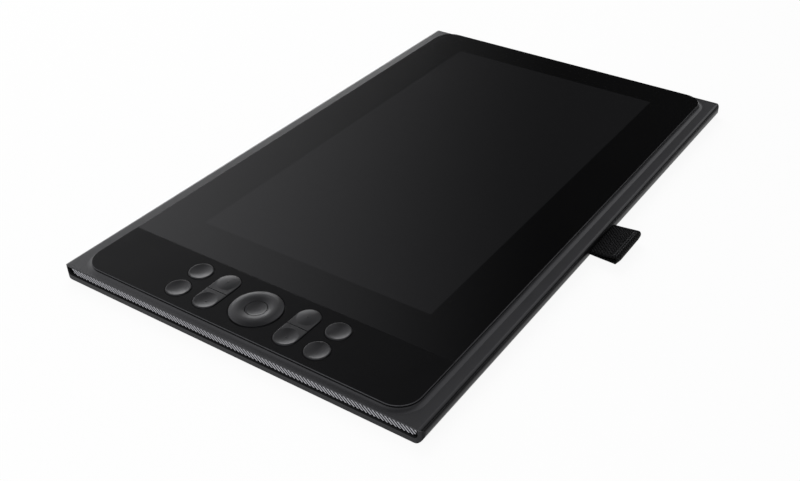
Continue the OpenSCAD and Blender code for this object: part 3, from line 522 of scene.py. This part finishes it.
deck_low, deck_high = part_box("front_frame")
deck_mid = (deck_low.y + deck_high.y) / 2
deck_half = (deck_high.y - deck_low.y) / 2
deck = satin("black_deck", grey(0.021), 0.3, grain_mm=0.16, depth_mm=0.002, round_mm=0.15,
             specular=0.45)
tree = deck.node_tree
past_side = beyond(tree, distance_from(tree, "Y", deck_mid), deck_half - TURN)
past_end = beyond(tree, object_axis(tree, "X"), deck_high.x - TURN)
past = add(tree, "CombineXYZ", {"X": past_end, "Y": past_side}).outputs[0]
reach = add(tree, "VectorMath", {0: past}, operation="LENGTH").outputs["Value"]
paint(deck, ramp(tree, reach, EDGE_FROM, EDGE_FULL), SLEEVE_BLACK)
dress(deck, "front_frame")

# %% [markdown]
# The ribbed strip is a lighter grey. Its grooves are painted dark as painted shade between the
# slanted ribs, and only the crests keep the lighter grey, so the mask here is the depth behind the
# strip's face.

# %% Ribbed strip and end panels
CREST_DEPTH = 0.03 * MM
GROOVE_DEPTH = 0.25 * MM
GROOVE_SHADE_GREY = grey(0.01)

strip_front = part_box("near_end_strip")[0].x
ribbed = satin("ribbed_grey", grey(0.34), 0.45, grain_mm=0.15, depth_mm=0.004, round_mm=0.06)
tree = ribbed.node_tree
depth = object_axis(tree, "X")
painted_groove_shade = ramp(tree, depth, strip_front + CREST_DEPTH, strip_front + GROOVE_DEPTH)
# Painted shade: the grooves between the ribs are painted dark.
paint(ribbed, painted_groove_shade, GROOVE_SHADE_GREY)
dress(ribbed, "near_end_strip")
dress(satin("end_panel_black", grey(0.03), 0.45, grain_mm=0.2, depth_mm=0.008),
      "upper_end_panel", "lower_end_panel", "socket_plate")

# %% [markdown]
# ## Keys and dial
# The key panel is black. Its chamfer gets a painted highlight: it is painted a lighter grey, so it
# shows as a fine grey line. A chamfer is found by its slope: its normal is neither upright nor
# level. The glass gets the same painted highlight, so the mask is a group.

# %% Painted chamfer highlight
NEARLY_UPRIGHT = (0.97, 0.9)
NEARLY_LEVEL = (0.2, 0.4)
CHAMFER_HIGHLIGHT_GREY = grey(0.05)

chamfer_highlight, enter, leave = start_group("chamfer_highlight", {}, {"Mask": "value"})
upright = axes(chamfer_highlight, add(chamfer_highlight, "NewGeometry").outputs["Normal"])["Z"]
not_top = ramp(chamfer_highlight, upright, *NEARLY_UPRIGHT)
not_side = ramp(chamfer_highlight, upright, *NEARLY_LEVEL)
fill(chamfer_highlight, leave, {"Mask": math_node(chamfer_highlight, "MULTIPLY", not_top, not_side)})
print("painted chamfer highlight gives", [socket.name for socket in leave.inputs if socket.name])

# %% [markdown]
# The keys and the dial are a shade lighter than the panel, which is why their dishes shine beside
# it. Their finger film is finer than elsewhere, because the keys are small.

# %% Key finishes
KEYS = [name for name in nodes if name.endswith("_key")]

panel = satin("key_panel_black", grey(0.0044), 0.17, grain_mm=0.14, depth_mm=0.001, specular=0.09)
# Painted highlight: the panel's chamfer is painted grey where the light would catch it.
paint(panel, use_group(panel.node_tree, chamfer_highlight)["Mask"], CHAMFER_HIGHLIGHT_GREY)
dress(panel, "key_panel")
dress(satin("key_grey", grey(0.007), 0.36, grain_mm=0.1, depth_mm=0.002, round_mm=0.1, worn=0.0,
            film_mm=6.0), *KEYS)
dress(satin("dial_grey", grey(0.008), 0.4, grain_mm=0.1, depth_mm=0.002, round_mm=0.2,
            film_mm=8.0), "dial_ring")
dress(satin("button_black", grey(0.04), 0.4, grain_mm=0.1), "power_button")

# %% [markdown]
# ## Screen glass
# The glass is etched, so its reflections are soft. Behind it the border is printed black, and the
# picture area, which is switched off, is a shade lighter. The area's edge comes from the node that
# bonds the picture to the glass, so both always agree.

# %% Glass
PRINT_EDGE = 0.3 * MM
ETCH_GRAIN = 0.06 * MM
ETCH_DEPTH = 0.0004 * MM
ROUGH_CLEAN = 0.07
ROUGH_TOUCHED = 0.1
BORDER_DARK = grey(0.0016)
BORDER_LIGHT = grey(0.0022)
PICTURE_GREY = grey(0.0078)

picture_low, picture_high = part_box("clear_bond")
picture_mid = (picture_low + picture_high) / 2
picture_half = (picture_high - picture_low) / 2
glass, tree, shader = start_material("etched_glass")
away_x = distance_from(tree, "X", picture_mid.x)
away_y = distance_from(tree, "Y", picture_mid.y)
in_x = ramp(tree, away_x, picture_half.x, picture_half.x - PRINT_EDGE)
in_y = ramp(tree, away_y, picture_half.y, picture_half.y - PRINT_EDGE)
inside = math_node(tree, "MULTIPLY", in_x, in_y)
speckle = use_group(tree, grain, grain=ETCH_GRAIN, patch=60 * MM)
touched = use_group(tree, handling, patch=45 * MM)
edges = use_group(tree, worn_edge, round=0.2 * MM, wear=0.0)
border = blend(tree, speckle["Tone"], BORDER_DARK, BORDER_LIGHT)
fill(tree, shader, {
    "Base Color": blend(tree, inside, border, PICTURE_GREY),
    "Roughness": spread(tree, touched["Film"], ROUGH_CLEAN, ROUGH_TOUCHED),
    "Normal": raised(tree, speckle["Height"], ETCH_DEPTH, edges["Normal"])})
# Painted highlight: the glass's chamfer is painted grey too.
paint(glass, use_group(tree, chamfer_highlight)["Mask"], CHAMFER_HIGHLIGHT_GREY)
dress(glass, "screen_glass")

# %% [markdown]
# ## Steel, brass and boards
# Inside and underneath there are plainer trades: drawn steel, turned brass, green boards, white
# films. They hardly show, but each has its own small structure. Drawn metal is lighter and rougher
# along its strokes.

# %% Metal recipe
STROKE_WIDTH = 0.08 * MM
STROKE_DEPTH = 0.002 * MM
STROKE_DARK = 0.85
STROKE_LIGHT = 1.1
SMOOTHER = 0.06
ROUGHER = 0.08


def drawn_metal(name, colour, rough, along_mm=9.0):
    made, tree, shader = start_material(name)
    strokes = use_group(tree, brushing, across=STROKE_WIDTH, along=along_mm * MM)
    edges = use_group(tree, worn_edge, round=0.12 * MM, wear=1.5)
    height = strokes["Height"]
    fill(tree, shader, {
        "Base Color": blend(tree, height, scaled(colour, STROKE_DARK), scaled(colour, STROKE_LIGHT)),
        "Roughness": spread(tree, height, rough - SMOOTHER, rough + ROUGHER),
        "Normal": raised(tree, height, STROKE_DEPTH, edges["Normal"]),
        "Metallic": 1.0})
    return made


dress(drawn_metal("drawn_steel", grey(0.52), 0.3), "upper_socket", "lower_socket", "loop_clamp")
dress(drawn_metal("tray_steel", grey(0.6), 0.35, along_mm=30.0), "backlight_tray", "shield_plate")
dress(drawn_metal("turned_brass", (0.7, 0.52, 0.25, 1), 0.3, along_mm=0.4), "cover_posts")
dress(drawn_metal("black_screw_steel", grey(0.09), 0.34, along_mm=1.0), "cover_screws")
dress(drawn_metal("plain_screw_steel", grey(0.5), 0.3, along_mm=1.0), "board_screws")

# %% [markdown]
# A circuit board has tracks under its green lacquer. A grid of bricks with few joints gives
# straight tracks of a fixed width, which the lacquer raises by some hundredths of a millimetre.

# %% Circuit board
LACQUER_DARK = (0.012, 0.075, 0.04, 1)
LACQUER_LIGHT = (0.02, 0.11, 0.06, 1)
TRACK_GREEN = (0.05, 0.2, 0.1, 1)
TRACK_WIDTH = 0.12 * MM
TRACK_PITCH = 1.1 * MM
TRACK_LENGTH = 9 * MM
TRACK_HEIGHT = 0.02 * MM

board, tree, shader = start_material("green_board")
tracks = add(tree, "TexBrick", {
    "Vector": object_place(tree), "Scale": 1.0, "Mortar Size": TRACK_WIDTH, "Mortar Smooth": 0.1,
    "Brick Width": TRACK_LENGTH, "Row Height": TRACK_PITCH}).outputs["Fac"]
speckle = use_group(tree, grain, grain=0.4 * MM, patch=15 * MM)
lacquer = blend(tree, speckle["Tone"], LACQUER_DARK, LACQUER_LIGHT)
fill(tree, shader, {
    "Base Color": blend(tree, tracks, lacquer, TRACK_GREEN),
    "Roughness": spread(tree, speckle["Height"], 0.25, 0.4),
    "Normal": raised(tree, tracks, TRACK_HEIGHT)})
dress(board, "pen_sensor_board", "mainboard", "key_board")

# %% [markdown]
# The other inner pieces are moulded, cast or cut from film, so the satin recipe serves them all.

# %% Other inner finishes
dress(satin("moulded_chip", grey(0.02), 0.5, grain_mm=0.1), "board_chips", "dial_sensor")
dress(satin("switch_black", grey(0.03), 0.45, grain_mm=0.15), "power_switch", "key_switches")
dress(satin("hub_grey", grey(0.3), 0.4), "dial_hub")
dress(satin("code_film", grey(0.012), 0.2), "code_disc")
dress(satin("foam_tape", grey(0.012), 0.85, grain_mm=0.4, depth_mm=0.03),
      "glass_tape", "panel_tape")
dress(satin("white_film", (0.82, 0.82, 0.8, 1), 0.5, drift=0.04),
      "diffuser_films", "reflector_sheet")
dress(satin("lamp_strip", (0.8, 0.74, 0.5, 1), 0.4, drift=0.1), "light_strip")
dress(satin("clear_sheet", (0.72, 0.76, 0.78, 1), 0.12, drift=0.03), "clear_bond", "light_guide")
dress(satin("dark_panel", (0.012, 0.012, 0.016, 1), 0.15), "lcd_panel")
dress(satin("amber_film", (0.45, 0.22, 0.05, 1), 0.3, drift=0.15), "screen_cable", "key_cable")
dress(satin("foot_rubber", grey(0.022), 0.75, grain_mm=0.5, depth_mm=0.02, worn=0.6),
      "front_foot", "back_foot")

# %% [markdown]
# ## Woven pen loop
# The loop is a woven band that comes out of a slot in the sleeve, folds round and goes back in.
# A strap like this is modelled directly: a flat strip for the upper layer, a half turn for the
# fold and a second strip back. The half turn is then pressed flatter, as a sewn fold is. The
# measures come from the solid loop that the band stands for.

# %% Loop measures
CLOTH_T = 0.9 * MM
FOLD_SHARE = 0.6
SLOT_DEPTH = 1.9 * MM
ROOT_GAP = 0.03 * MM

loop_low, loop_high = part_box("pen_loop")
LOOP_W = loop_high.x - loop_low.x
LOOP_X = (loop_low.x + loop_high.x) / 2
LOOP_Z = (loop_low.z + loop_high.z) / 2
FOLD_R = (loop_high.z - loop_low.z - CLOTH_T) / 2
FOLD_DEPTH = FOLD_SHARE * FOLD_R
FOLD_ARC = math.pi * math.hypot(FOLD_R, FOLD_DEPTH) / math.sqrt(2)
FOLD_Y = loop_low.y + FOLD_DEPTH + CLOTH_T / 2
SLOT_Y = sleeve_low.y + SLOT_DEPTH
ROOT_Z = CLOTH_T / 2 + ROOT_GAP
RUN = SLOT_Y - FOLD_Y
RISE = FOLD_R - ROOT_Z
LAYER = math.hypot(RUN, RISE)
BAND_LENGTH = 2 * LAYER + FOLD_ARC
print("band flat size in mm:", round(LOOP_W / MM, 1), "x", round(BAND_LENGTH / MM, 1))

# %% [markdown]
# The upper layer starts as a plane whose outer edge is raised. That edge is spun through a half
# turn and drawn back to the slot, and the turn is pressed flat.

# %% Fold the band
NEAR = 0.1 * MM
TOUCHING = 0.01 * MM
FOLD_STEPS = 12
BAND_CUTS = 7
FOLD_CENTRE = (LOOP_X, FOLD_Y, LOOP_Z)


def select_vertices(obj, wanted):
    bpy.ops.object.mode_set(mode="EDIT")
    bpy.ops.mesh.select_mode(type="VERT")
    bpy.ops.mesh.select_all(action="DESELECT")
    bpy.ops.object.mode_set(mode="OBJECT")
    for vertex in obj.data.vertices:
        vertex.select = wanted(vertex.co)
    bpy.ops.object.mode_set(mode="EDIT")


bpy.ops.object.select_all(action="DESELECT")
bpy.ops.mesh.primitive_plane_add(
    size=1, calc_uvs=False, location=(LOOP_X, (SLOT_Y + FOLD_Y) / 2, LOOP_Z + ROOT_Z))
band = bpy.context.object
band.name = "woven_loop"
band.scale = (LOOP_W, RUN, 1)
bpy.ops.object.transform_apply(location=True, rotation=True, scale=True)
select_vertices(band, lambda at: at.y < FOLD_Y + NEAR)
bpy.ops.transform.translate(value=(0, 0, RISE))
bpy.ops.mesh.spin(steps=FOLD_STEPS, angle=-math.pi, center=FOLD_CENTRE, axis=(1, 0, 0))
bpy.ops.mesh.extrude_region_move(TRANSFORM_OT_translate={"value": (0, RUN, RISE)})
bpy.ops.mesh.select_all(action="SELECT")
bpy.ops.mesh.remove_doubles(threshold=TOUCHING)
select_vertices(band, lambda at: at.y < FOLD_Y - TOUCHING)
bpy.ops.transform.resize(value=(1, FOLD_DEPTH / FOLD_R, 1), center_override=FOLD_CENTRE)
bpy.ops.mesh.select_all(action="SELECT")
bpy.ops.mesh.subdivide(number_cuts=BAND_CUTS)
bpy.ops.mesh.normals_make_consistent(inside=False)
bpy.ops.object.mode_set(mode="OBJECT")
tip = min(vertex.co.y for vertex in band.data.vertices)
print("band:", len(band.data.polygons), "faces, tip at y", round(tip / MM, 2))

# %% [markdown]
# The weave has to run round the fold without a break. So each corner of each face gets a place on
# the flat band: across its width, and along its length as a tape laid round the fold would show.

# %% Lay the band flat for the weave
def along_band(at):
    if at.y < FOLD_Y:
        turned = math.atan2((FOLD_Y - at.y) / FOLD_DEPTH, (at.z - LOOP_Z) / FOLD_R)
        return LAYER + FOLD_ARC * turned / math.pi
    inward = LAYER * (SLOT_Y - at.y) / RUN
    return inward if at.z > LOOP_Z else BAND_LENGTH - inward


flat_map = band.data.uv_layers.new(name="band")
for corner in band.data.loops:
    at = band.data.vertices[corner.vertex_index].co
    flat_map.data[corner.index].uv = (at.x - loop_low.x, along_band(at))
print("weave runs over", round(max(c.uv.y for c in flat_map.data) / MM, 1), "mm")

# %% [markdown]
# Cloth is never quite square. The corners of the fold are pulled in a little, the near one more
# than the far one, which drags the cloth beside them along. The stiff webbing also lifts its outer
# end by a fraction of a millimetre.

# %% Pull and lift the fold
NEAR_PULL = 0.7 * MM
FAR_PULL = 0.3 * MM
PULL_REACH = 3.5 * MM
TIP_Y = FOLD_Y - 0.8 * FOLD_DEPTH
LIFT = 0.25 * MM
LIFT_REACH = 11 * MM


def drag(step, reach):
    bpy.ops.transform.translate(
        value=step, use_proportional_edit=True, proportional_edit_falloff="SMOOTH",
        proportional_size=reach)
    bpy.ops.object.mode_set(mode="OBJECT")


for side, pull in ((loop_low.x, NEAR_PULL), (loop_high.x, FAR_PULL)):
    select_vertices(band, lambda at: abs(at.x - side) < NEAR and at.y < TIP_Y)
    drag((0, pull, 0), PULL_REACH)
select_vertices(band, lambda at: at.y < FOLD_Y)
drag((0, 0, LIFT), LIFT_REACH)
print("fold lifted by", round(LIFT / MM, 2), "mm")

# %% [markdown]
# Then the band gets its thickness and its soft edges. Both are modifiers, because they treat the
# whole strip alike, and both are applied so that the mesh is final.

# %% Thicken the band
HEM_ROUND = 0.2 * MM
HEM_ANGLE = math.radians(60)
SMOOTH_ANGLE = math.radians(50)

thick = band.modifiers.new("thick", "SOLIDIFY")
thick.thickness = CLOTH_T
thick.offset = 0
bpy.ops.object.modifier_apply(modifier=thick.name)
soft = band.modifiers.new("soft", "BEVEL")
soft.width = HEM_ROUND
soft.segments = 3
soft.limit_method = "ANGLE"
soft.angle_limit = HEM_ANGLE
bpy.ops.object.modifier_apply(modifier=soft.name)
bpy.ops.object.shade_smooth_by_angle(angle=SMOOTH_ANGLE)
print("band:", len(band.data.polygons), "faces")

# %% [markdown]
# Two rows of stitches hold the fold. One stitch is a small bar with rounded edges whose ends dip
# into the cloth. Raised thread catches the light, so it is a shape and not only a bump.

# %% One stitch
STITCH = Vector((1.5, 0.36, 0.34)) * MM
STITCH_ROUND = 0.14 * MM
STITCH_STEP = 2.0 * MM
BARE_ENDS = 3 * MM
STITCH_COUNT = int((LOOP_W - BARE_ENDS) / STITCH_STEP)
FIRST_ROW = 0.7 * MM
END_SHARE = 0.36
END_DIP = 0.12 * MM


def bar(name, place, size, rounding, segments):
    bpy.ops.object.select_all(action="DESELECT")
    bpy.ops.mesh.primitive_cube_add(size=1, location=place)
    made = bpy.context.object
    made.name = name
    made.scale = size
    bpy.ops.object.transform_apply(location=True, rotation=True, scale=True)
    bpy.ops.object.mode_set(mode="EDIT")
    bpy.ops.mesh.select_all(action="SELECT")
    bpy.ops.mesh.bevel(offset=rounding, segments=segments, affect="EDGES")
    bpy.ops.object.mode_set(mode="OBJECT")
    return made


row_y = FOLD_Y + FIRST_ROW
row_z = LOOP_Z + ROOT_Z + RISE * (SLOT_Y - row_y) / RUN + CLOTH_T / 2
first_x = LOOP_X - STITCH_STEP * (STITCH_COUNT - 1) / 2
stitches = bar("loop_stitches", (first_x, row_y, row_z), STITCH, STITCH_ROUND, segments=3)
select_vertices(stitches, lambda at: abs(at.x - first_x) > END_SHARE * STITCH.x)
bpy.ops.transform.translate(value=(0, 0, -END_DIP))
bpy.ops.object.mode_set(mode="OBJECT")
print("one stitch:", len(stitches.data.polygons), "faces")

# %% [markdown]
# The stitch is repeated along the row, the row is repeated once along the slope of the cloth, both
# rows are mirrored to the lower layer, and all of them are lifted with the cloth.

# %% Stitch the fold
ROW_STEP = 1.3 * MM


def repeat(obj, count, step):
    copies = obj.modifiers.new("copies", "ARRAY")
    copies.count = count
    copies.use_relative_offset = False
    copies.use_constant_offset = True
    copies.constant_offset_displace = step
    bpy.ops.object.modifier_apply(modifier=copies.name)


def mirror_down(centre):
    bpy.ops.object.mode_set(mode="EDIT")
    bpy.ops.mesh.select_all(action="SELECT")
    bpy.ops.mesh.duplicate()
    bpy.ops.transform.resize(value=(1, 1, -1), center_override=centre)
    bpy.ops.mesh.select_all(action="SELECT")


repeat(stitches, STITCH_COUNT, (STITCH_STEP, 0, 0))
repeat(stitches, 2, (0, ROW_STEP, -ROW_STEP * RISE / RUN))
mirror_down((LOOP_X, row_y, LOOP_Z))
bpy.ops.transform.translate(value=(0, 0, LIFT))
bpy.ops.mesh.normals_make_consistent(inside=False)
bpy.ops.object.mode_set(mode="OBJECT")
bpy.ops.object.shade_smooth_by_angle(angle=SMOOTH_ANGLE)
print("stitches:", 4 * STITCH_COUNT)

# %% [markdown]
# ## The weave
# In a plain weave each thread passes over one crossing thread and under the next. On the flat
# band that is a chessboard: on the light squares the threads along the band lie on top, and on the
# dark ones the threads across. The group gives the height of the cloth and the mask of the light
# squares.

# %% Weave group
weave, enter, leave = start_group(
    "weave", {"Thread": 0.9 * MM}, {"Height": "value", "Lengthwise": "value"}
)


def ridge(value):
    wave = math_node(weave, "SINE", math_node(weave, "MULTIPLY", value, math.pi))
    return math_node(weave, "ABSOLUTE", wave)


flat = axes(weave, add(weave, "TexCoord").outputs["UV"])
across = math_node(weave, "DIVIDE", flat["X"], enter.outputs["Thread"])
along = math_node(weave, "DIVIDE", flat["Y"], enter.outputs["Thread"])
column = math_node(weave, "FLOOR", across)
squares = math_node(weave, "ADD", column, math_node(weave, "FLOOR", along))
light_square = math_node(weave, "FLOORED_MODULO", squares, 2.0)
height = add(weave, "Mix", {
    "Factor": light_square, 2: ridge(along), 3: ridge(across)}, data_type="FLOAT").outputs[0]
fill(weave, leave, {"Height": height, "Lengthwise": light_square})
print("weave gives", [socket.name for socket in leave.inputs if socket.name])

# %% [markdown]
# The material paints shade into the low places of the weave and paints a highlight on the crests of
# the threads along the band, where they would catch more light. A little lint breaks up the tone.
# Such cloth hardly shines.

# %% Cloth and thread
THREAD = 1.0 * MM
WEAVE_DEPTH = 0.3 * MM
LINT_DEPTH = 0.03 * MM
LINT_SHARE = 0.35
WEAVE_PAINTED_SHADE = grey(0.0004)
WEAVE_PAINTED_HIGHLIGHT = grey(0.02)

cloth, tree, shader = start_material("black_weave")
woven = use_group(tree, weave, thread=THREAD)
lint = use_group(tree, grain, grain=0.08 * MM, patch=6 * MM)
# Painted shade in the low places, painted highlight on the lengthwise crests.
crest = math_node(tree, "POWER", woven["Height"], 2.0)
crest_highlight = math_node(tree, "MULTIPLY", crest, woven["Lengthwise"])
tone = blend(tree, crest_highlight, WEAVE_PAINTED_SHADE, WEAVE_PAINTED_HIGHLIGHT)
fuzz = raised(tree, lint["Height"], LINT_DEPTH)
fill(tree, shader, {
    "Base Color": blend(tree, LINT_SHARE, tone, lint["Tone"], kind="MULTIPLY"),
    "Normal": raised(tree, woven["Height"], WEAVE_DEPTH, fuzz),
    "Roughness": 0.6,
    "Specular IOR Level": 0.06})
band.data.materials.append(cloth)
stitches.data.materials.append(satin("black_thread", grey(0.03), 0.6, grain_mm=0.08, depth_mm=0.02))
print("cloth:", cloth.name, "with threads of", round(THREAD / MM, 1), "mm")

# %% [markdown]
# ## Socket contacts
# A cable socket has a tongue with a row of gilded contacts on each face. They are thin bars, so
# one bar with softened edges is repeated along the tongue, mirrored to its lower face and copied
# to the second socket.

# %% Contacts
PAD = Vector((2.6, 0.26, 0.06)) * MM
PAD_ROUND = 0.02 * MM
PAD_STEP = 0.5 * MM
PAD_COUNT = 12
PAD_BEHIND_MOUTH = 2.3 * MM
TONGUE_HALF = 0.35 * MM
GILT = (0.85, 0.6, 0.22, 1)

socket_low, socket_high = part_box("lower_socket")
second_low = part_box("upper_socket")[0]
tongue_mid = (socket_low + socket_high) / 2
pad_x = socket_high.x - PAD_BEHIND_MOUTH
pad_z = tongue_mid.z + TONGUE_HALF + PAD.z / 4
first_y = tongue_mid.y - PAD_STEP * (PAD_COUNT - 1) / 2
contacts = bar("socket_contacts", (pad_x, first_y, pad_z), PAD, PAD_ROUND, segments=2)
repeat(contacts, PAD_COUNT, (0, PAD_STEP, 0))
mirror_down(tongue_mid)
bpy.ops.mesh.duplicate()
bpy.ops.transform.translate(value=(0, second_low.y - socket_low.y, 0))
bpy.ops.mesh.select_all(action="SELECT")
bpy.ops.mesh.normals_make_consistent(inside=False)
bpy.ops.object.mode_set(mode="OBJECT")
contacts.data.materials.append(drawn_metal("gilded_contact", GILT, 0.22, along_mm=1.0))
print("contacts:", 4 * PAD_COUNT)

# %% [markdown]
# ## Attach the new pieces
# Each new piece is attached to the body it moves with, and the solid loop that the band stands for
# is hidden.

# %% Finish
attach(band, "tablet")
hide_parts("pen_loop")
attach(stitches, "tablet")
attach(contacts, "tablet")
